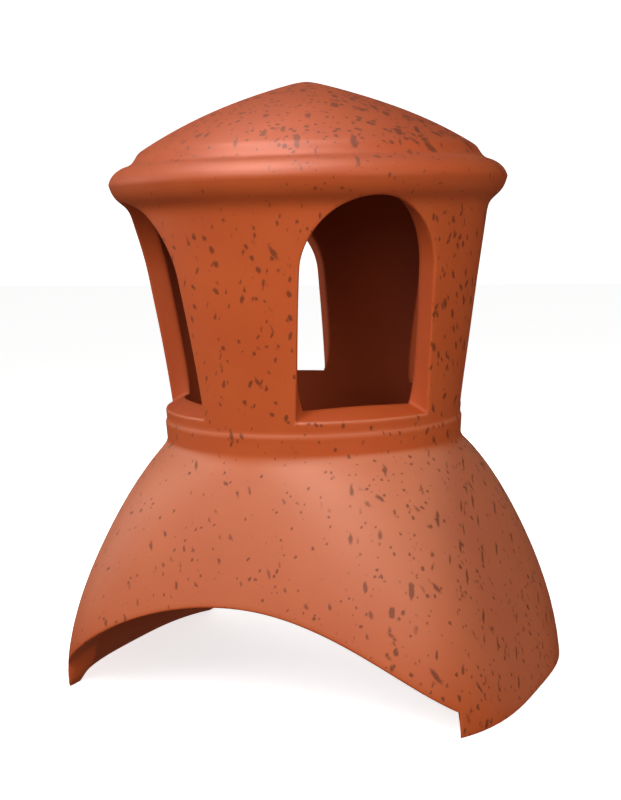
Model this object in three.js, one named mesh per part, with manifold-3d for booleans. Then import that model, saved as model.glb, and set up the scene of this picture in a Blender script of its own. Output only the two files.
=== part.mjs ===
// A terracotta chimney cap: a saddle base that straddles a rounded roof ridge, a short neck,
// a round lantern with four arched smoke windows, and a low domed roof with a rounded eave.
// Fired clay, made as one piece. Millimetres, +Z up, ridge along Y, feet standing on z = 0.

import * as THREE from 'three';
import { mergeVertices } from 'three/addons/utils/BufferGeometryUtils.js';
import Module from 'manifold-3d';

// Driving dimensions
const WALL = 14;
const SIDES = 64;

const NECK_RADIUS = 95;
const SKIRT_TOP = 152;
const LEDGE_HEIGHT = 167;
const LEDGE_STEP = 0.9;

// The skirt's plan is a squared-off oval. Each triple gives its size at the foot, half way up and at the neck.
const HALF_WIDTH = [149.5, 125.5, NECK_RADIUS];
const HALF_DEPTH = [139.5, 122, NECK_RADIUS];
const SQUARENESS = [3.15, 4.25, 2];
const FOOT_WIDTH = 6;
const FOOT_BEVEL = 13;

const RIDGE_RADIUS = 184;
const RIDGE_CROWN = 69;
const LIP_HALF_SPAN = 130.5;

const LANTERN_FOOT_RADIUS = 94.8;
const LANTERN_TOP = 296;
const LANTERN_TOP_RADIUS = 113;
const LANTERN_FLARE = 1.14;

const EAVE_RADIUS = 126;
const EAVE_HEIGHT = 316;
const EAVE_DROP = 14;
const EAVE_RISE = 11.5;
const EAVE_ROUNDNESS = 1.7;

const ROOF_RADIUS = 107.7;
const ROOF_FOOT = 332;
const ROOF_TOP = 378;
const ROOF_PITCH = 0.2985;
const ROOF_SWELL = 0.000012;
const ROOF_POINT = 6;

// The four windows are cut by hand. Each row is a bearing in degrees from +X, half width, crown, sill and
// how much the sides close in for each millimetre inwards.
const WINDOWS = [
  [38.5, 40, 304, 174.5, 0.38],
  [135, 42, 298, 180, 0.05],
  [221.5, 46, 304, 174.5, 0.38],
  [314, 42, 304, 174.5, 0.38],
];
const ARCH_SPLAY = 0.5;
const SILL_SLOPE = 0.58;
const SILL_STEPS = 4;
const CUT_STEPS = 4;

// A smooth run through a value at the foot, one half way and one at the top, for t from 0 to 1.
function throughThree([foot, middle, top], t) {
  const low = foot * (1 - t) * (1 - 2 * t);
  const mid = middle * 4 * t * (1 - t);
  const high = top * t * (2 * t - 1);
  return low + mid + high;
}

// Radius of the skirt's plan at one height and bearing, drawn in by an inset on every side.
function skirtRadius(height, bearing, inset) {
  const t = THREE.MathUtils.clamp(height / SKIRT_TOP, 0, 1);
  const halfWidth = throughThree(HALF_WIDTH, t) - inset;
  const halfDepth = throughThree(HALF_DEPTH, t) - inset;
  const power = throughThree(SQUARENESS, t);
  const across = Math.abs(Math.cos(bearing) / halfWidth) ** power;
  const along = Math.abs(Math.sin(bearing) / halfDepth) ** power;
  return (across + along) ** (-1 / power);
}

// Radius of the lantern's wall, which flares outwards as it rises.
function lanternRadius(height) {
  const t = (height - LEDGE_HEIGHT) / (LANTERN_TOP - LEDGE_HEIGHT);
  return LANTERN_FOOT_RADIUS + (LANTERN_TOP_RADIUS - LANTERN_FOOT_RADIUS) * t ** LANTERN_FLARE;
}

// Height of the roof, a cone that steepens outwards and is rounded off at its point.
function roofHeight(radius) {
  const reach = Math.hypot(radius, ROOF_POINT) - ROOF_POINT;
  return ROOF_TOP - ROOF_PITCH * reach - ROOF_SWELL * reach ** 3;
}

// Values from a to b in equal steps, both ends included.
function steps(a, b, count) {
  return Array.from({ length: count + 1 }, (_, i) => a + (b - a) * i / count);
}

// One quarter of the eave's rounded bead, from its widest point to an inner radius.
function eaveQuarter(innerRadius, rise, count) {
  return steps(0, 1, count).map((t) => {
    const turn = t * Math.PI / 2;
    const out = Math.cos(turn) ** (2 / EAVE_ROUNDNESS);
    const up = Math.sin(turn) ** (2 / EAVE_ROUNDNESS);
    const radius = innerRadius + (EAVE_RADIUS - innerRadius) * out;
    return new THREE.Vector2(radius, EAVE_HEIGHT + rise * up);
  });
}

// A turned solid standing on +Z whose rings below the neck are reshaped to the skirt's plan.
// insetAt gives the skirt's inset at a height, and rings at or above plainFrom stay round.
function turnedSolid(profile, plainFrom, insetAt) {
  const turned = new THREE.LatheGeometry(profile, SIDES);
  turned.rotateX(Math.PI / 2);
  const places = turned.getAttribute('position');
  for (let i = 0; i < places.count; i += 1) {
    const point = new THREE.Vector3().fromBufferAttribute(places, i);
    const radius = Math.hypot(point.x, point.y);
    if (point.z < plainFrom && radius > 1) {
      const bearing = Math.atan2(point.y, point.x);
      const wanted = skirtRadius(point.z, bearing, insetAt(point.z));
      places.setXY(i, wanted * Math.cos(bearing), wanted * Math.sin(bearing));
    }
  }
  return turned;
}

// The whole outside: skirt, neck, lantern, eave and roof, closed at the foot and at the point.
function outerForm() {
  const profile = [new THREE.Vector2(0, 0)];
  for (const height of steps(0, SKIRT_TOP, 12)) {
    profile.push(new THREE.Vector2(NECK_RADIUS, height));
  }
  profile.push(new THREE.Vector2(NECK_RADIUS, LEDGE_HEIGHT - 2));
  profile.push(new THREE.Vector2(NECK_RADIUS + LEDGE_STEP / 2, LEDGE_HEIGHT - LEDGE_STEP));
  for (const height of steps(LEDGE_HEIGHT, LANTERN_TOP, 5)) {
    profile.push(new THREE.Vector2(lanternRadius(height), height));
  }
  const under = eaveQuarter(LANTERN_TOP_RADIUS + 1, -EAVE_DROP, 5);
  const over = eaveQuarter(ROOF_RADIUS + 4.5, EAVE_RISE, 5);
  profile.push(...under.reverse());
  profile.push(...over.slice(1));
  profile.push(new THREE.Vector2(ROOF_RADIUS + 1, ROOF_FOOT));
  for (const radius of steps(ROOF_RADIUS, 0, 8)) {
    profile.push(new THREE.Vector2(radius, roofHeight(radius)));
  }
  return turnedSolid(profile, SKIRT_TOP, () => 0);
}

// The hollow inside, open at the foot: a bevel inside each foot, the skirt, the flue and the lantern.
function innerForm() {
  const below = -FOOT_BEVEL;
  const shoulder = SKIRT_TOP - WALL / 2;
  const bore = NECK_RADIUS - WALL;
  const ceiling = LANTERN_TOP + WALL;
  const topRadius = LANTERN_TOP_RADIUS - WALL;
  const wallAt = (height) => {
    const t = THREE.MathUtils.clamp(height / FOOT_BEVEL, 0, 1);
    return FOOT_WIDTH + (WALL - FOOT_WIDTH) * t;
  };
  const profile = [new THREE.Vector2(0, below)];
  profile.push(new THREE.Vector2(bore, below));
  profile.push(new THREE.Vector2(bore, 0));
  for (const height of steps(FOOT_BEVEL, shoulder - WALL / 2, 7)) {
    profile.push(new THREE.Vector2(bore, height));
  }
  profile.push(new THREE.Vector2(bore, shoulder));
  for (const height of steps(LEDGE_HEIGHT, LANTERN_TOP, 6)) {
    profile.push(new THREE.Vector2(lanternRadius(height) - WALL, height));
  }
  profile.push(new THREE.Vector2(topRadius, ceiling));
  for (const radius of steps(topRadius - WALL / 2, 0, 5)) {
    profile.push(new THREE.Vector2(radius, roofHeight(radius) - WALL));
  }
  return turnedSolid(profile, shoulder, wallAt);
}

// The cutter for one arched window, pointing along +X. Its sides and arch close in towards the axis,
// and its sill runs uphill inwards so that rain drains out.
function windowCutter(halfWidth, crown, sillHeight, splay) {
  const spring = crown - halfWidth;
  const arch = new THREE.Shape();
  arch.moveTo(-halfWidth, sillHeight);
  for (const across of steps(-halfWidth, halfWidth, SILL_STEPS).slice(1)) {
    arch.lineTo(across, sillHeight);
  }
  arch.lineTo(halfWidth, spring);
  arch.absarc(0, spring, halfWidth, 0, Math.PI, false);
  const nearAxis = NECK_RADIUS - 2.5 * WALL;
  const shaping = { depth: EAVE_RADIUS - nearAxis, steps: CUT_STEPS, bevelEnabled: false, curveSegments: 12 };
  const cutter = new THREE.ExtrudeGeometry(arch, shaping);
  const places = cutter.getAttribute('position');
  for (let i = 0; i < places.count; i += 1) {
    const outwards = nearAxis + places.getZ(i);
    const across = places.getX(i);
    const up = places.getY(i);
    const face = Math.sqrt(lanternRadius(up) ** 2 - across ** 2);
    const inFromFace = face - outwards;
    const narrowed = across * (1 - splay * inFromFace / halfWidth);
    const rise = Math.max(up - spring, 0) / halfWidth;
    const sill = up < sillHeight + 1 ? SILL_SLOPE : 0;
    places.setXYZ(i, outwards, narrowed, up + (ARCH_SPLAY * rise + sill) * inFromFace);
  }
  return cutter;
}

// The cutter for the arch that straddles the ridge, running along Y, with short upright lips at the feet.
function ridgeCutter() {
  const centre = RIDGE_CROWN - RIDGE_RADIUS;
  const lipAngle = Math.acos(LIP_HALF_SPAN / RIDGE_RADIUS);
  const section = new THREE.Shape();
  section.moveTo(-LIP_HALF_SPAN, -WALL);
  section.lineTo(LIP_HALF_SPAN, -WALL);
  section.absarc(0, centre, RIDGE_RADIUS, lipAngle, Math.PI - lipAngle, false);
  section.closePath();
  const length = 4 * NECK_RADIUS;
  const cutter = new THREE.ExtrudeGeometry(section, { depth: length, bevelEnabled: false, curveSegments: 28 });
  cutter.translate(0, 0, -length / 2);
  cutter.rotateX(Math.PI / 2);
  return cutter;
}

const library = await Module();
library.setup();

// A closed solid for joining and cutting, from a geometry's positions alone.
function toSolid(geometry) {
  const bare = new THREE.BufferGeometry();
  bare.setAttribute('position', geometry.getAttribute('position').clone());
  if (geometry.index) {
    bare.setIndex(geometry.index.clone());
  }
  const joined = mergeVertices(bare, 1e-3);
  const source = joined.index.array;
  const corners = [];
  for (let i = 0; i < source.length; i += 3) {
    const [a, b, c] = [source[i], source[i + 1], source[i + 2]];
    if (a !== b && b !== c && c !== a) {
      corners.push(a, b, c);
    }
  }
  const mesh = new library.Mesh({
    numProp: 3,
    vertProperties: new Float32Array(joined.getAttribute('position').array),
    triVerts: new Uint32Array(corners),
  });
  const solid = new library.Manifold(mesh);
  return solid.volume() < 0 ? new library.Manifold(flipped(mesh)) : solid;
}

// The same surface with every triangle turned round.
function flipped(mesh) {
  const turned = mesh.triVerts.slice();
  for (let i = 0; i < turned.length; i += 3) {
    [turned[i], turned[i + 1]] = [turned[i + 1], turned[i]];
  }
  return new library.Mesh({ numProp: 3, vertProperties: mesh.vertProperties, triVerts: turned });
}

// A geometry to show, from a finished solid.
function toGeometry(solid) {
  const mesh = solid.getMesh();
  const geometry = new THREE.BufferGeometry();
  geometry.setAttribute('position', new THREE.BufferAttribute(new Float32Array(mesh.vertProperties), 3));
  geometry.setIndex(new THREE.BufferAttribute(new Uint32Array(mesh.triVerts), 1));
  geometry.computeVertexNormals();
  return geometry;
}

// The cap: the outside, less the hollow, the windows near the diagonals and the ridge arch.
function chimneyCap() {
  let clay = toSolid(outerForm()).subtract(toSolid(innerForm()));
  for (const [bearing, halfWidth, crown, sillHeight, splay] of WINDOWS) {
    const cutter = windowCutter(halfWidth, crown, sillHeight, splay);
    cutter.rotateZ(THREE.MathUtils.degToRad(bearing));
    clay = clay.subtract(toSolid(cutter));
  }
  clay = clay.subtract(toSolid(ridgeCutter()));
  return toGeometry(clay);
}

const terracotta = new THREE.MeshStandardMaterial({ color: 0xb9582f, roughness: 0.6, metalness: 0 });
const cap = new THREE.Mesh(chimneyCap(), terracotta);
cap.name = 'chimney_cap';

const group = new THREE.Group();
group.add(cap);

export default group;
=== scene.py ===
# %% [markdown]
# # A terracotta chimney cap
#
# This lesson rebuilds one piece of fired clay: a saddle base that straddles a roof ridge, a short
# neck, a round lantern with four arched windows, and a low domed roof. The clay is one closed skin,
# so the mesh is one closed skin too. Its walls are grids of points worked out with numpy, and the
# grids share their edge points, so that they join without a seam.

# %% Load the shared frame
import bpy
import bmesh
import numpy as np
from mathutils import Matrix, Vector


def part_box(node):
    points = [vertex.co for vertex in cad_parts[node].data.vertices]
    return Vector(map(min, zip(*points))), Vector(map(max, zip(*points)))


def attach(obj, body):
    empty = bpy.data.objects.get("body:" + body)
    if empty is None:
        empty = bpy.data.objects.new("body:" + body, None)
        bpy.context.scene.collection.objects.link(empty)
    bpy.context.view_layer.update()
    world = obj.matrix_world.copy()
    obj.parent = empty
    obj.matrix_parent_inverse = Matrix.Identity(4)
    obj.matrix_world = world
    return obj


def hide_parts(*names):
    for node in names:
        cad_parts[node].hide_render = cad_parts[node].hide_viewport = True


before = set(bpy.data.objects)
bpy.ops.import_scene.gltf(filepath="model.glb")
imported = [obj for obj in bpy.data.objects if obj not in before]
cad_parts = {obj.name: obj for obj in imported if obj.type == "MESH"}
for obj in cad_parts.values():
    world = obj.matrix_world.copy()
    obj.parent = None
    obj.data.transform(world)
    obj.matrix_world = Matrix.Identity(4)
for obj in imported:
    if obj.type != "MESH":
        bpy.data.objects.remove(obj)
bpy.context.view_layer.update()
LOW, HIGH = (np.array(corner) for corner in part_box("chimney_cap"))
print("the clay stands", round(float(HIGH[2] - LOW[2]), 4), "m tall")

# %% [markdown]
# ## Sizes
#
# The height and the width across the ridge come from the frame, so the picture and the solid agree.
# The rest are the potter's own dimensions, with lengths in metres. A quadratic through three values
# gives the skirt its sway from foot to neck, and a superellipse gives it a plan that is squarish at
# the feet and round at the neck.

# %% Sizes
MM = 0.001
HEIGHT = HIGH[2] - LOW[2]
FOOT_X = (HIGH[0] - LOW[0]) / 2
WALL = 14 * MM
NECK = 95 * MM
SKIRT_TOP = 152 * MM
LEDGE = 167 * MM
HALF_WIDTH = (FOOT_X, 125.5 * MM, NECK)
HALF_DEPTH = (139.5 * MM, 122 * MM, NECK)
SQUARENESS = (3.15, 4.25, 2.0)
FOOT_LAND = 6 * MM
FOOT_BEVEL = 13 * MM
RIDGE_RADIUS = 184 * MM
RIDGE_CROWN = 69 * MM
LIP = 130.5 * MM
LANTERN_TOP = 296 * MM
LANTERN_FOOT_R = 94.8 * MM
LANTERN_TOP_R = 113 * MM
LANTERN_FLARE = 1.14
EAVE_R = 126 * MM
EAVE_Z = 316 * MM
EAVE_RISE = 11.5 * MM
EAVE_DROP = 14 * MM
BEAD_POWER = 1.7
ROOF_R = 107.7 * MM
ROOF_FOOT = 332 * MM
ROOF_POINT = 6 * MM
ROOF_PITCH = 0.2985
ROOF_SWELL = 12.0
# Each window has a bearing in degrees, a half width, crown and sill in mm, and how far its sides close in.
WINDOWS = ((38.5, 40, 304, 174.5, 0.38), (135, 42, 298, 180, 0.05),
           (221.5, 46, 304, 174.5, 0.38), (314, 42, 304, 174.5, 0.38))
SILL_SLOPE = 0.58
CORNER_SPLAY = 0.45
CORNER_REACH = 9 * MM
ARCH_SPLAY = 0.5
SECTOR = 56                      # columns in a quarter turn
ARRIS = 1.8 * MM                 # how far the worn edges are rounded


def through_three(values, t):
    """The parabola through a value at t = 0, one at t = 1/2 and one at t = 1."""
    foot, middle, top = values
    return foot * (1 - t) * (1 - 2 * t) + middle * 4 * t * (1 - t) + top * t * (2 * t - 1)


def skirt_radius(z, turn, inset):
    """Superellipse: (|cos| / width)^n + (|sin| / depth)^n = r^-n, with all three changing by height."""
    t = np.clip(z / SKIRT_TOP, 0, 1)
    n = through_three(SQUARENESS, t)
    width = np.abs(np.cos(turn)) / (through_three(HALF_WIDTH, t) - inset)
    depth = np.abs(np.sin(turn)) / (through_three(HALF_DEPTH, t) - inset)
    return (width ** n + depth ** n) ** (-1 / n)


def lantern_radius(z):
    """A wall that flares as it rises: the foot radius plus a share of the rise to a power above 1."""
    t = np.clip((z - LEDGE) / (LANTERN_TOP - LEDGE), 0, None)
    return LANTERN_FOOT_R + (LANTERN_TOP_R - LANTERN_FOOT_R) * t ** LANTERN_FLARE


def roof_height(r):
    """A blunt cone that steepens outwards: top less a slope and a cube of the distance out."""
    q = np.hypot(r, ROOF_POINT) - ROOF_POINT
    return HEIGHT - ROOF_PITCH * q - ROOF_SWELL * q ** 3


print("skirt from", round(float(skirt_radius(0.0, 0.0, 0.0)), 4), "m at the foot to", NECK, "m at the neck")

# %% [markdown]
# ## Profiles
#
# The roof, eave and lantern are thrown on a wheel, so half a cross-section says everything about
# them. A list of points is drawn from the tip down, spread out to even steps, and averaged along its
# length. The averaging rounds every corner a little, as a wet sponge does before the clay is fired.
# It is widest under the eave, where the bead runs softly into the wall.

# %% Profiles
PACE = 0.4 * MM                  # distance between a profile's points


def along(points):
    """Distance along a chain of points, from its first point."""
    return np.concatenate([[0.0], np.cumsum(np.linalg.norm(np.diff(points, axis=0), axis=1))])


def sponged(points, width):
    """The chain at even steps of PACE, each point averaged with those within half the width."""
    s = along(points)
    even = np.linspace(0, s[-1], int(s[-1] / PACE) + 1)
    chain = np.stack([np.interp(even, s, points[:, k]) for k in (0, 1)], axis=1)
    half = max(1, int(width / (2 * PACE)))
    kernel = np.hanning(2 * half + 3)[1:-1]
    kernel = kernel / kernel.sum()
    ahead = 2 * chain[0] - chain[half:0:-1]
    behind = 2 * chain[-1] - chain[-2:-half - 2:-1]
    padded = np.concatenate([ahead, chain, behind])
    return np.stack([np.convolve(padded[:, k], kernel, "valid") for k in (0, 1)], axis=1)


def bead(inner, rise, share):
    """A quarter of the eave's bead: a superellipse from the widest point (share 0) inwards."""
    out = np.cos(share * np.pi / 2) ** (2 / BEAD_POWER)
    up = np.sin(share * np.pi / 2) ** (2 / BEAD_POWER)
    return np.stack([inner + (EAVE_R - inner) * out, EAVE_Z + rise * up], axis=1)


share = np.linspace(0, 1, 24)
roof_r = np.linspace(0, ROOF_R, 90)
wall_z = np.linspace(LANTERN_TOP, LEDGE, 60)
roof_edge = sponged(np.concatenate([
    np.stack([roof_r, roof_height(roof_r)], axis=1),
    [[ROOF_R + 1 * MM, ROOF_FOOT]],
    bead(ROOF_R + 4.5 * MM, EAVE_RISE, share[::-1])]), 10 * MM)
cove = sponged(np.concatenate([
    bead(LANTERN_TOP_R + 1 * MM, -EAVE_DROP, share),
    np.stack([lantern_radius(wall_z), wall_z], axis=1)]), 20 * MM)
lantern = sponged(np.concatenate([
    cove,
    [[95.9 * MM, 166.2 * MM], [95.5 * MM, 163 * MM], [NECK, SKIRT_TOP + 2 * MM]]]), 4 * MM)
outer = np.concatenate([roof_edge, lantern[1:]])
dome_r = np.linspace(0, LANTERN_TOP_R - 1.5 * WALL, 60)
inner = sponged(np.concatenate([
    np.stack([dome_r, roof_height(dome_r) - WALL], axis=1),
    [[LANTERN_TOP_R - WALL, LANTERN_TOP + WALL]],
    np.stack([lantern_radius(wall_z) - WALL, wall_z], axis=1),
    [[NECK - WALL, SKIRT_TOP - WALL / 2]]]), 8 * MM)
outer_s, inner_s = along(outer), along(inner)
print("outer profile", len(outer), "points, inner profile", len(inner))

# %% [markdown]
# ## Grids
#
# Every wall is a rectangle of points: rows one way, columns the other. `turned` spins a stretch of a
# profile about the axis. A bend between two walls is a quadratic curve drawn from a point on one
# wall, past the sharp edge, to a point on the other wall, so each arris is slightly rounded.

# %% Grids
patches = []


def put(rows, skin, flue):
    """Keep one grid of points and, for its rows, skin (1 on outside faces) and flue (1 on inside ones)."""
    skin, flue = (np.broadcast_to(np.asarray(value, float), len(rows)) for value in (skin, flue))
    patches.append((np.asarray(rows, float), skin, flue))


def turned(chain, s_all, s, turn):
    """Points at distances s along a profile, each turned to every angle: r cos, r sin, z."""
    r = np.interp(s, s_all, chain[:, 0])[:, None]
    z = np.interp(s, s_all, chain[:, 1])[:, None]
    return np.stack([r * np.cos(turn), r * np.sin(turn), z + 0 * turn], axis=-1)


def bend(a, edge, b, count):
    """Quadratic curves: (1-t)^2 a + 2t(1-t) edge + t^2 b, one for each column of points."""
    t = np.linspace(0, 1, count + 1)[:, None, None]
    return (1 - t) ** 2 * a + 2 * t * (1 - t) * edge + t ** 2 * b


def at_height(chain, s_all, z, below):
    """Distance along a profile where it passes a height, on the stretch below a given distance."""
    part = s_all >= below
    return np.interp(z, chain[part, 1][::-1], s_all[part][::-1])


OUTER_LOW, OUTER_TOP = 169.5 * MM, 311 * MM      # heights between which the windows' frames lie, outside
INNER_LOW, INNER_TOP = 168 * MM, 322 * MM        # the same, inside
INNER_EDGE = 328 * MM                            # where the dome turns down into the inner wall

ring = np.arange(4 * SECTOR) * (np.pi / 2 / SECTOR)
outer_widest = outer_s[np.argmax(outer[:, 0])]
inner_widest = at_height(inner, inner_s, INNER_EDGE, 0.0)
outer_top = at_height(outer, outer_s, OUTER_TOP, outer_widest)
outer_low = at_height(outer, outer_s, OUTER_LOW, outer_widest)
inner_top = at_height(inner, inner_s, INNER_TOP, inner_widest)
inner_low = at_height(inner, inner_s, INNER_LOW, inner_widest)

roof_rows = np.linspace(0, outer_top, 84)
put(turned(outer, outer_s, roof_rows, ring), 1, 0)
put(turned(inner, inner_s, np.linspace(0, inner_top, 40), ring), 0, 1)
print("roof grid", patches[0][0].shape)

# %% [markdown]
# ## Windows
#
# The windows are cut with a wire while the clay is leather-hard. Around each one the grid is a frame:
# its inner loop follows the arch and its outer loop is the edge of a quarter of the lantern. The
# points in between are straight mixes of the two loops, measured by angle and by distance along
# the profile. Most reveals narrow inwards, and each sill climbs inwards so that rain runs out.

# %% Windows
SIDE = 46                        # steps up each side of a window
SHOULDER = np.radians(38)        # how far up the arch a side reaches


def loop_steps(a, b, count):
    """Even steps from a to b without the last one, so that stretches join end to end."""
    return np.linspace(a, b, count + 1)[:-1]


def window_loop(cut, grow):
    """The arch's outline, as offset and height: sill, right side, crown, left side, grown outwards."""
    half, top, sill = cut
    spring, wide, foot = top - half, half + grow, sill - grow
    straight = (spring - sill) / (spring - sill + half * SHOULDER)
    up = loop_steps(0, 1, SIDE)
    arc = np.clip((up - straight) / (1 - straight), 0, 1) * SHOULDER
    side_off = wide * np.cos(arc)
    side_z = foot + (spring - foot) * np.clip(up / straight, 0, 1) + wide * np.sin(arc)
    crown = loop_steps(SHOULDER, np.pi - SHOULDER, SECTOR)
    down_off = np.append(wide * np.cos(SHOULDER), side_off[:0:-1])
    down_z = np.append(spring + wide * np.sin(SHOULDER), side_z[:0:-1])
    off = np.concatenate([loop_steps(-wide, wide, SECTOR), side_off, wide * np.cos(crown), -down_off])
    z = np.concatenate([np.full(SECTOR, foot), side_z, spring + wide * np.sin(crown), down_z])
    return off, z


def frame_loop(low, high, s_low, s_top):
    """The edge of a quarter of the lantern, as angle and distance along the profile."""
    turn = np.concatenate([loop_steps(low, high, SECTOR), np.full(SIDE, high),
                           loop_steps(high, low, SECTOR), np.full(SIDE, low)])
    s = np.concatenate([np.full(SECTOR, s_low), loop_steps(s_low, s_top, SIDE),
                        np.full(SECTOR, s_top), loop_steps(s_top, s_low, SIDE)])
    return turn, s


def on_profile(chain, s_all, turn, s):
    """Points at paired angles and distances along a profile."""
    r = np.interp(s, s_all, chain[:, 0])
    return np.stack([r * np.cos(turn), r * np.sin(turn), np.interp(s, s_all, chain[:, 1])], axis=-1)


def loop_on(chain, s_all, below, off, z):
    """Angle and distance along the profile of the loop's points on a wall."""
    s = at_height(chain, s_all, z, below)
    return np.arcsin(off / np.interp(s, s_all, chain[:, 0])), s


def inner_loop(cut, grow, splay):
    """The outline on the inside: each point is carried in, closing in and climbing as it goes."""
    off, z = window_loop(cut, 0.0)
    half, top, sill = cut
    spring = top - half
    face = np.sqrt(lantern_radius(z) ** 2 - off ** 2)
    low = np.clip((spring - z) / (spring - sill), 0, 1)
    high = np.maximum(z - spring, 0) / half
    splay = splay + CORNER_SPLAY * np.exp(-(z - sill) / CORNER_REACH)
    depth = np.full(len(z), WALL)
    for _ in range(12):
        in_off = off * (1 - splay * depth / half)
        in_z = z + (ARCH_SPLAY * high + SILL_SLOPE * low) * depth
        s = at_height(inner, inner_s, in_z, inner_widest)
        depth = face - np.sqrt(np.interp(s, inner_s, inner[:, 0]) ** 2 - in_off ** 2)
    return in_off * (1 + grow / half), in_z + grow * (high - low)


def window_patch(low, high, cut, splay):
    """All rows of one window's quarter: lantern wall, arris, reveal, arris, inner wall."""
    edge = on_profile(outer, outer_s, *loop_on(outer, outer_s, outer_widest, *window_loop(cut, 0.0)))
    near = loop_on(outer, outer_s, outer_widest, *window_loop(cut, ARRIS))
    far = frame_loop(low, high, outer_low, outer_top)
    mix = (np.linspace(0, 1, 13) ** 0.9)[:, None]
    wall_turn, wall_s = (far[k] * (1 - mix) + near[k] * mix for k in (0, 1))
    wall = on_profile(outer, outer_s, wall_turn, wall_s)
    in_edge = on_profile(inner, inner_s, *loop_on(inner, inner_s, inner_widest, *inner_loop(cut, 0.0, splay)))
    in_near = loop_on(inner, inner_s, inner_widest, *inner_loop(cut, ARRIS, splay))
    in_far = frame_loop(low, high, inner_low, inner_top)
    in_turn, in_s = (in_near[k] * (1 - mix) + in_far[k] * mix for k in (0, 1))
    in_wall = on_profile(inner, inner_s, in_turn, in_s)
    reach = in_edge - edge
    step = reach * (ARRIS / np.linalg.norm(reach, axis=-1, keepdims=True))
    first, last = edge + step, in_edge - step
    through = np.linspace(0, 1, 7)[1:, None, None]
    rows = np.concatenate([wall, bend(wall[-1], edge, first, 4)[1:], first + (last - first) * through,
                           bend(last, in_edge, in_wall[0], 4)[1:], in_wall[1:]])
    skin = np.concatenate([np.ones(len(wall) + 2), np.zeros(len(rows) - len(wall) - 2)])
    flue = np.clip((np.arange(len(rows)) - len(wall) - 8) / 4, 0, 1)
    return rows, skin, flue


for quarter, (degrees, *cut, splay) in enumerate(WINDOWS):
    bearing = np.radians(degrees)
    start = quarter * np.pi / 2 - bearing
    rows, skin, flue = window_patch(start, start + np.pi / 2, np.array(cut) * MM, splay)
    c, s = np.cos(bearing), np.sin(bearing)
    put(rows @ np.array([[c, s, 0], [-s, c, 0], [0, 0, 1]]), skin, flue)
print("window grid", rows.shape, "made for each of", len(WINDOWS), "windows")

# %% [markdown]
# ## Saddle
#
# Below the ledge the round neck opens into a skirt whose ends are arched to sit over the ridge. Its
# columns start at even angles at the neck and fan out to points spaced along the rim: along the foot,
# up the short lip and over the arch. The rim curve is found by walking along Y from the ridge's
# arc to the skirt's wall, so the edge lies exactly on both. Inside, the lip keeps to one bearing from
# the foot's corner up to the arch, so that the columns never cross.

# %% Saddle
FOOT_STEPS, LIP_STEPS = 12, 4
ARCH_STEPS = SECTOR - FOOT_STEPS - LIP_STEPS


def wall_depth(x, z, inset):
    """Y on the skirt's wall for a given x and height: depth (1 - |x / width|^n)^(1/n)."""
    t = np.clip(z / SKIRT_TOP, 0, 1)
    n = through_three(SQUARENESS, t)
    width, depth = through_three(HALF_WIDTH, t) - inset, through_three(HALF_DEPTH, t) - inset
    return depth * (1 - np.clip(np.abs(x) / width, 0, 1) ** n) ** (1 / n)


def foot_inset(z):
    """Inner wall's inset: the foot's land at the bottom, widening to the full wall above the bevel."""
    return FOOT_LAND + (WALL - FOOT_LAND) * np.clip(z / FOOT_BEVEL, 0, 1)


def rim_quarter(inset_at):
    """Angle and height of the rim in the first quarter: foot, lip, then arch up to the crown."""
    def on_arch(x):
        z = RIDGE_CROWN - RIDGE_RADIUS + np.sqrt(RIDGE_RADIUS ** 2 - x ** 2)
        return np.arctan2(wall_depth(x, z, inset_at(z)), x), z

    lip_angle = np.arctan2(wall_depth(LIP, 0.0, inset_at(0.0)), LIP)
    across = np.linspace(LIP, 0, 400)
    start = np.interp(lip_angle, on_arch(across)[0], across)
    sweep = np.linspace(np.arccos(start / RIDGE_RADIUS), np.pi / 2, ARCH_STEPS + 1)
    arch_turn, arch_z = on_arch(RIDGE_RADIUS * np.cos(sweep))
    turn = [loop_steps(0, lip_angle, FOOT_STEPS), loop_steps(lip_angle, arch_turn[0], LIP_STEPS), arch_turn]
    z = [np.zeros(FOOT_STEPS), loop_steps(0, arch_z[0], LIP_STEPS), arch_z]
    return np.concatenate(turn), np.concatenate(z)


def rim_round(turn, z):
    """The whole rim from one quarter, mirrored about both upright planes."""
    half_turn = np.concatenate([turn, np.pi - turn[-2::-1]])
    half_z = np.concatenate([z, z[-2::-1]])
    whole_turn = np.concatenate([half_turn[:-1], np.pi + half_turn[:-1]])
    return whole_turn, np.concatenate([half_z[:-1], half_z[:-1]])


def drawn_in(turn, z, r, distance):
    """The rim moved into the wall by a distance, square to the rim's own direction."""
    ahead = np.append(turn[1:], turn[0] + 2 * np.pi) - turn
    step = np.stack([ahead * (r + np.roll(r, -1)) / 2, np.roll(z, -1) - z], axis=1)
    step = step / np.linalg.norm(step, axis=1, keepdims=True)
    normal = np.stack([-step[:, 1], step[:, 0]], axis=1)
    joint = normal + np.roll(normal, 1, axis=0)
    joint = joint / np.maximum((joint ** 2).sum(axis=1, keepdims=True) / 2, 0.6)
    return turn + distance * joint[:, 0] / r, z + distance * joint[:, 1]


def skirt_points(turn, z, inset):
    """Points on the skirt's wall at paired angles and heights."""
    r = skirt_radius(z, turn, inset)
    return np.stack([r * np.cos(turn), r * np.sin(turn), z + 0 * turn], axis=-1)


rim_turn, rim_z = rim_round(*rim_quarter(lambda z: 0 * z))
in_turn, in_z = rim_round(*rim_quarter(foot_inset))
rim = skirt_points(rim_turn, rim_z, 0.0)
in_rim = skirt_points(in_turn, in_z, foot_inset(in_z))
near_turn, near_z = drawn_in(rim_turn, rim_z, skirt_radius(rim_z, rim_turn, 0.0), ARRIS)
in_near_turn, in_near_z = drawn_in(in_turn, in_z, skirt_radius(in_z, in_turn, foot_inset(in_z)), ARRIS)

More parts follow.
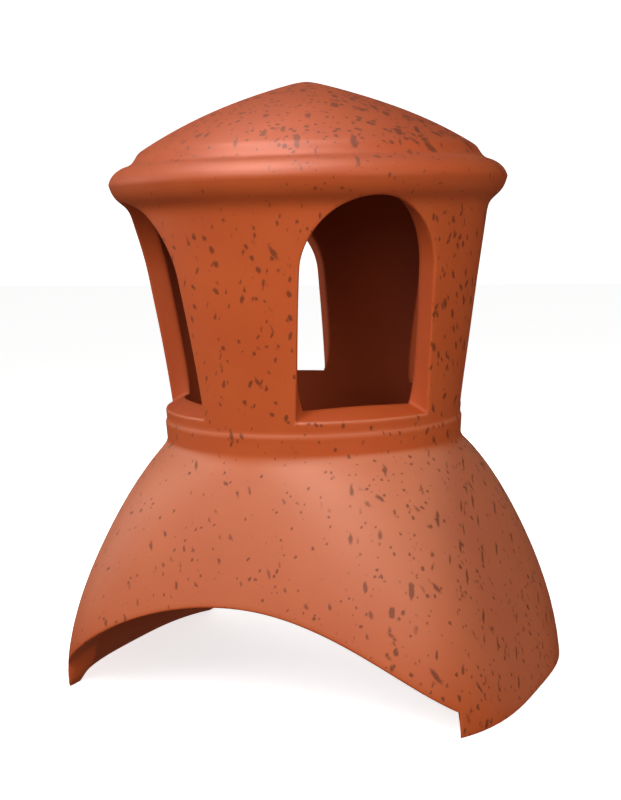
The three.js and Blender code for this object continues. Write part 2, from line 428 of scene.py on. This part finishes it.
neck_low = SKIRT_TOP + 3 * MM
neck_s = np.linspace(outer_low, at_height(outer, outer_s, neck_low, outer_widest), 12)
neck_rows = turned(outer, outer_s, neck_s, ring)
top_z = SKIRT_TOP - 5 * MM
mix = (np.linspace(0, 1, 44) ** 1.15)[:, None]
skirt = skirt_points(ring * (1 - mix) + near_turn * mix, top_z * (1 - mix) + near_z * mix, 0.0)
shoulder = np.stack([NECK * np.cos(ring), NECK * np.sin(ring), SKIRT_TOP + 0 * ring], axis=-1)
reach = in_rim - rim
step = reach * (ARRIS / np.linalg.norm(reach, axis=-1, keepdims=True))
first, last = rim + step, in_rim - step
in_top = SKIRT_TOP - WALL
in_mix = np.linspace(0, 1, 30)[:, None]
in_z_grid = in_top * in_mix + in_near_z * (1 - in_mix)
in_skirt = skirt_points(in_near_turn * (1 - in_mix) + ring * in_mix, in_z_grid, foot_inset(in_z_grid))
bore = turned(inner, inner_s, np.linspace(inner_s[-1], inner_low, 9), ring)
put(np.concatenate([neck_rows, bend(neck_rows[-1], shoulder, skirt[0], 6)[1:], skirt[1:],
                    bend(skirt[-1], rim, first, 4)[1:]]), 1, 0)
under = np.concatenate([first[None], first + (last - first) * np.linspace(0, 1, 5)[1:, None, None],
                        bend(last, in_rim, in_skirt[0], 4)[1:], in_skirt[1:], bore])
put(under, 0, np.clip((np.arange(len(under)) - 9) / 12, 0, 1))
print("saddle grids", patches[-2][0].shape, patches[-1][0].shape)

# %% [markdown]
# ## One closed skin
#
# The grids are joined into one mesh and points that coincide are merged, which closes every seam and
# pole. Clay shaped by hand is never quite true, so a slow wave of a fraction of a millimetre is added
# to the points along their normals. It fades out towards the ground, so that the feet stay flat.
# Three values stay on each point for the finish: skin on outside faces, flue on inside ones, which
# get painted shade, and a third on low faces that turn to the sky, such as the saddle's shoulders,
# where a painted sheen goes.

# %% One closed skin
WAVE, SHRINK = 0.12 * MM, 0.1 * MM
FLAT_FOOT = 0.03                 # height below which the wave fades


def build_mesh(name):
    """All grids as one mesh with merged seams and outward faces, with skin and flue on each point."""
    points, faces, skins, flues, start = [], [], [], [], 0
    for rows, skin, flue in patches:
        count, width = rows.shape[:2]
        index = start + np.arange(count * width).reshape(count, width)
        beside = np.roll(index, -1, axis=1)
        faces.append(np.stack([index[:-1], index[1:], beside[1:], beside[:-1]], axis=-1).reshape(-1, 4))
        points.append(rows.reshape(-1, 3))
        skins.append(np.repeat(skin, width))
        flues.append(np.repeat(flue, width))
        start += count * width
    mesh = bpy.data.meshes.new(name)
    mesh.from_pydata(np.concatenate(points).tolist(), [], np.concatenate(faces).tolist())
    mesh.attributes.new("skin", "FLOAT", "POINT").data.foreach_set("value", np.concatenate(skins))
    mesh.attributes.new("flue", "FLOAT", "POINT").data.foreach_set("value", np.concatenate(flues))
    work = bmesh.new()
    work.from_mesh(mesh)
    bmesh.ops.remove_doubles(work, verts=work.verts, dist=2e-6)
    bmesh.ops.dissolve_degenerate(work, edges=work.edges, dist=1e-7)
    bmesh.ops.recalc_face_normals(work, faces=work.faces)
    loose = sum(1 for e in work.edges if not e.is_manifold)
    work.to_mesh(mesh)
    work.free()
    print(name, len(mesh.vertices), "points,", len(mesh.polygons), "faces,", loose, "open edges")
    return mesh


mesh = build_mesh("chimney_cap_clay")
count = len(mesh.vertices)
place = np.empty(count * 3)
normal = np.empty(count * 3)
mesh.vertices.foreach_get("co", place)
mesh.vertices.foreach_get("normal", normal)
place, normal = place.reshape(-1, 3), normal.reshape(-1, 3)
wave = np.sin(place @ [31, 17, 43]) + np.sin(place @ [-23, 47, 29] + 1.7)
wave = wave + np.sin(place @ [61, -37, 71] + 0.6)
fade = np.clip(place[:, 2] / FLAT_FOOT, 0, 1)
swell = WAVE * wave * fade - SHRINK * fade
mesh.vertices.foreach_set("co", (place + normal * swell[:, None]).ravel())
# Painted sheen: this marks low faces that tilt up, where the clay is paled like the overhead lamp's
# highlight.
sheen_mask = np.clip((normal[:, 2] - 0.02) / 0.55, 0, 1) * np.clip((0.2 - place[:, 2]) / 0.02, 0, 1)
mesh.attributes.new("sheen_faces", "FLOAT", "POINT").data.foreach_set("value", sheen_mask * sheen_mask * (3 - 2 * sheen_mask))
mesh.shade_smooth()
mesh.update()
clay = bpy.data.objects.new("chimney_cap_clay", mesh)
bpy.context.scene.collection.objects.link(clay)
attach(clay, "root")
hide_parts("chimney_cap")

# %% [markdown]
# ## Colour
#
# Fired clay gets its orange from iron. Darker specks are grains of ironstone and manganese that melt
# into the surface, so they are soft-edged, uneven in size and spread by chance. Colours are picked as
# they look on a screen and turned into the linear values that light is worked out with.

# %% Colour


def linear(code):
    """A screen colour such as C0603A as linear red, green and blue, and an alpha of 1."""
    srgb = np.array([int(code[i:i + 2], 16) for i in (0, 2, 4)]) / 255
    value = np.where(srgb <= 0.04045, srgb / 12.92, ((srgb + 0.055) / 1.055) ** 2.4)
    return (*value.tolist(), 1.0)


def node(tree, kind, settings=None, **links):
    """Add a node, set its options, and fill its inputs with values or with other nodes' outputs."""
    made = tree.nodes.new(kind)
    for key, value in (settings or {}).items():
        setattr(made, key, value)
    for key, value in links.items():
        by_number = key[0] == "_" and key[1:].isdigit()
        socket = made.inputs[int(key[1:]) if by_number else key.replace("_", " ")]
        if isinstance(value, bpy.types.NodeSocket):
            tree.links.new(value, socket)
        else:
            socket.default_value = value
    return made


print("lighter clay", [round(v, 3) for v in linear("BE5827")[:3]])

# %% [markdown]
# ## Terracotta
#
# The clay is a slightly cloudy orange, with painted shade that darkens it towards the top and a
# painted pale sheen on the saddle's shoulders. The specks are cells of three Voronoi patterns, drawn
# out along different directions, so that they lie like slivers in the clay. A broad noise, the height
# and the side say how large they grow. Cut faces and the inside have no specks, and the inside is
# duller and darkened with painted shade.
# Every pattern is sized from real millimetres.

# %% Terracotta
MATH, RANGE, MIX = "ShaderNodeMath", "ShaderNodeMapRange", "ShaderNodeMix"
NOISE, ATTRIBUTE = "ShaderNodeTexNoise", "ShaderNodeAttribute"
TIMES, COLOUR = {"operation": "MULTIPLY"}, {"data_type": "RGBA"}
# Each pattern of specks has a cell size in mm, a largest reach, a share of bare cells, and a lean.
SPECKS = ((4.1, 0.43, 0.38, (0.5, 0.4, 0.0)), (6.0, 0.39, 0.45, (-0.7, 0.3, 0.8)),
          (8.2, 0.33, 0.52, (0.2, -0.6, 0.3)))


def speck_growth(tree, where, at):
    """How far specks reach: a broad noise, less on the eave, more on the lantern and towards +X."""
    patchy = node(tree, NOISE, Vector=where, Scale=1 / 0.06, Detail=2.0)
    thin = node(tree, RANGE, Value=patchy.outputs["Fac"], From_Min=0.35, From_Max=0.65,
                To_Min=0.8, To_Max=1.05)
    side = node(tree, RANGE, Value=at.outputs[0], From_Min=-0.09, From_Max=0.1, To_Min=0.82, To_Max=1.15)
    upper = node(tree, RANGE, Value=at.outputs[2], From_Min=0.15, From_Max=0.18, To_Min=0.97, To_Max=1.12)
    below = node(tree, RANGE, Value=at.outputs[2], From_Min=0.286, From_Max=0.298, To_Min=1.0, To_Max=0.6)
    above = node(tree, RANGE, Value=at.outputs[2], From_Min=0.318, From_Max=0.334, To_Max=0.6)
    band = node(tree, MATH, {"operation": "ADD"}, _0=below.outputs[0], _1=above.outputs[0])
    sided = node(tree, MATH, TIMES, _0=upper.outputs[0], _1=side.outputs[0])
    spread = node(tree, MATH, TIMES, _0=thin.outputs[0], _1=sided.outputs[0])
    return node(tree, MATH, TIMES, _0=band.outputs[0], _1=spread.outputs[0]).outputs[0]


def speck_cover(tree, where, growth):
    """Where specks lie, from 0 to 1: each Voronoi cell's own reach less the distance from its middle."""
    wobble = node(tree, NOISE, Vector=where, Scale=1 / 0.0035, Detail=2.0)
    shifted = node(tree, "ShaderNodeVectorMath", {"operation": "MULTIPLY_ADD"}, _0=wobble.outputs["Color"],
                   _1=(0.0025, 0.0025, 0.0025), _2=where)
    cover = 0.0
    for cell, size, bare, lean in SPECKS:
        leaning = node(tree, "ShaderNodeMapping", {"vector_type": "TEXTURE"}, Vector=shifted.outputs[0],
                       Rotation=lean, Scale=(0.8, 0.8, 2.8))
        cells = node(tree, "ShaderNodeTexVoronoi", Vector=leaning.outputs[0], Scale=1 / (cell * MM))
        chance = node(tree, "ShaderNodeSeparateColor", Color=cells.outputs["Color"])
        kept = node(tree, RANGE, Value=chance.outputs[0], From_Min=bare, From_Max=1.0, To_Max=size)
        reach = node(tree, MATH, TIMES, _0=kept.outputs[0], _1=growth)
        within = node(tree, MATH, {"operation": "SUBTRACT"}, _0=reach.outputs[0],
                      _1=cells.outputs["Distance"])
        soft = node(tree, RANGE, Value=within.outputs[0], From_Max=0.15)
        cover = node(tree, MATH, {"operation": "MAXIMUM"}, _0=cover, _1=soft.outputs[0]).outputs[0]
    return cover


def terracotta():
    """Clouded clay with painted shade and painted sheen, slivers of specks and fine grain in the bump."""
    material = bpy.data.materials.new("terracotta")
    material.use_nodes = True
    tree = material.node_tree
    tree.nodes.clear()
    where = node(tree, "ShaderNodeTexCoord").outputs["Object"]
    at = node(tree, "ShaderNodeSeparateXYZ", Vector=where)
    skin, flue, sheen_faces = (node(tree, ATTRIBUTE, {"attribute_name": name}).outputs["Fac"]
                          for name in ("skin", "flue", "sheen_faces"))

    cloud = node(tree, NOISE, Vector=where, Scale=1 / 0.045, Detail=3.0, Roughness=0.55)
    base = node(tree, MIX, COLOUR, _0=cloud.outputs["Fac"], _6=linear("AE4619"), _7=linear("BE5827"))
    # Painted shade: the colour darkens from 0.26 m up, for the shade under the eave and on the roof.
    top_shade = node(tree, RANGE, Value=at.outputs[2], From_Min=0.26, From_Max=0.31, To_Max=0.24)
    top_shaded = node(tree, MIX, COLOUR, _0=top_shade.outputs[0], _6=base.outputs[2], _7=linear("7C3013"))
    # Painted sheen: the marked shoulders are mixed towards a pale pink, in place of the lamp's highlight.
    sheen_share = node(tree, MATH, TIMES, _0=sheen_faces, _1=0.42)
    sheened = node(tree, MIX, COLOUR, _0=sheen_share.outputs[0], _6=top_shaded.outputs[2], _7=linear("C98A6C"))

    cover = speck_cover(tree, where, speck_growth(tree, where, at))
    outside = node(tree, MATH, TIMES, _0=cover, _1=skin)
    faded = node(tree, MATH, TIMES, _0=outside.outputs[0], _1=0.64)
    speckled = node(tree, MIX, COLOUR, _0=faded.outputs[0], _6=sheened.outputs[2], _7=linear("452110"))
    cut = node(tree, MIX, COLOUR, _0=skin, _6=linear("B04A1E"), _7=speckled.outputs[2])
    # Painted shade: the inside is mixed towards a darker brown, for the dim light within the clay.
    shaded = node(tree, MIX, COLOUR, _0=flue, _6=cut.outputs[2], _7=linear("8E3B1E"))

    grain = node(tree, NOISE, Vector=where, Scale=1 / 0.0011, Detail=3.0, Roughness=0.6)
    bump = node(tree, "ShaderNodeBump", Height=grain.outputs["Fac"], Strength=0.25, Distance=0.0003)
    gloss = node(tree, RANGE, Value=flue, To_Min=0.22, To_Max=0.04)
    shader = node(tree, "ShaderNodeBsdfPrincipled", Base_Color=shaded.outputs[2], Roughness=0.55,
                  Specular_IOR_Level=gloss.outputs[0], Normal=bump.outputs[0])
    node(tree, "ShaderNodeOutputMaterial", Surface=shader.outputs[0])
    return material


mesh.materials.append(terracotta())
print("terracotta set on", clay.name)

# %% [markdown]
# ## Light and camera
#
# A studio table: a pale floor inside four pale walls. The camera sees them, but they throw no light
# back on the clay, which is lit by the lamps and a dim white sky alone. The key stands in front, with
# weaker lamps to the left and right. A lamp overhead shows only as a sheen on the shoulders and the
# roof, and one behind keeps the back from going dark. The camera stands just below the eave's height
# and looks slightly down, from where one window shows from the front and the next from the side.

# %% Light and camera
scene = bpy.context.scene
scene.view_settings.view_transform = "Standard"


def sheet(name, corners, faces, glow):
    """Flat pale sheets with a little light of their own, which aren't part of the object."""
    flat = bpy.data.meshes.new(name)
    flat.from_pydata(corners, [], faces)
    pale = bpy.data.materials.new("pale " + name)
    pale.use_nodes = True
    paper = pale.node_tree.nodes["Principled BSDF"].inputs
    paper["Base Color"].default_value = linear("F4F4F2")
    paper["Roughness"].default_value = 0.9
    paper["Emission Color"].default_value = linear("FFFFFF")
    paper["Emission Strength"].default_value = glow
    flat.materials.append(pale)
    made = bpy.data.objects.new(name, flat)
    scene.collection.objects.link(made)
    return made


square = [(-5, -5), (5, -5), (5, 5), (-5, 5)]
around = [(0, 1, 5, 4), (1, 2, 6, 5), (2, 3, 7, 6), (3, 0, 4, 7)]
floor = sheet("floor", [(x, y, 0) for x, y in square], [(0, 1, 2, 3)], 0.74)
backdrop = sheet("backdrop", [(x, y, z) for z in (0, 5) for x, y in square], around, 0.9)
for paper in (floor, backdrop):
    paper.visible_diffuse = False
    paper.visible_glossy = False
backdrop.visible_shadow = False

world = bpy.data.worlds.new("studio")
world.use_nodes = True
world.node_tree.nodes["Background"].inputs["Color"].default_value = linear("FFFFFF")
world.node_tree.nodes["Background"].inputs["Strength"].default_value = 0.27
world.cycles_visibility.glossy = False
scene.world = world


def soft_light(name, place, target, size, power):
    """A square area light that faces a point."""
    lamp = bpy.data.lights.new(name, "AREA")
    lamp.size, lamp.energy = size, power
    made = bpy.data.objects.new(name, lamp)
    made.location = place
    made.rotation_euler = (Vector(target) - Vector(place)).to_track_quat("-Z", "Y").to_euler()
    scene.collection.objects.link(made)
    return made


MIDDLE, LAMP_SIZE = (0, 0, 0.17), 0.6
soft_light("key", (-0.06, -0.96, 0.80), MIDDLE, LAMP_SIZE, 8.0)
soft_light("side", (-0.90, -0.25, 0.50), MIDDLE, LAMP_SIZE, 3.4)
soft_light("fill", (0.85, -0.55, 0.50), MIDDLE, LAMP_SIZE, 4.8)
back = soft_light("back", (-0.30, 0.98, 0.36), MIDDLE, LAMP_SIZE, 4)
back.visible_glossy = False
sheen = soft_light("sheen", (-0.13, -0.33, 1.15), MIDDLE, LAMP_SIZE, 28)
sheen.visible_diffuse = False

# Where the camera stands: its bearing from -Y, its distance from the axis and its height. Then how it
# is turned, and the focal length and height of the picture in pixels and of the film in mm.
BEARING, BACK, EYE = np.radians(24.36), 0.9077, 0.2918
YAW, PITCH, ROLL = np.radians((-0.12, 7.28, -1.42))
FOCAL, PICTURE, FILM = 1411.9, 800, 36
ahead = np.array([-np.sin(BEARING), np.cos(BEARING), 0])
right = np.array([np.cos(BEARING), np.sin(BEARING), 0])
up = np.array([0.0, 0.0, 1.0])
ahead, right = np.cos(YAW) * ahead + np.sin(YAW) * right, np.cos(YAW) * right - np.sin(YAW) * ahead
ahead, up = np.cos(PITCH) * ahead - np.sin(PITCH) * up, np.cos(PITCH) * up + np.sin(PITCH) * ahead
right, up = np.cos(ROLL) * right + np.sin(ROLL) * up, np.cos(ROLL) * up - np.sin(ROLL) * right
lens = bpy.data.cameras.new("camera")
lens.sensor_fit, lens.sensor_height, lens.lens = "VERTICAL", FILM, FOCAL * FILM / PICTURE
camera = bpy.data.objects.new("camera", lens)
turn = np.eye(4)
turn[:3, 0], turn[:3, 1], turn[:3, 2] = right, up, -ahead
turn[:3, 3] = (BACK * np.sin(BEARING), -BACK * np.cos(BEARING), EYE)
camera.matrix_world = Matrix(turn.tolist())
scene.collection.objects.link(camera)
scene.camera = camera
print("camera lens", round(lens.lens, 2), "mm")
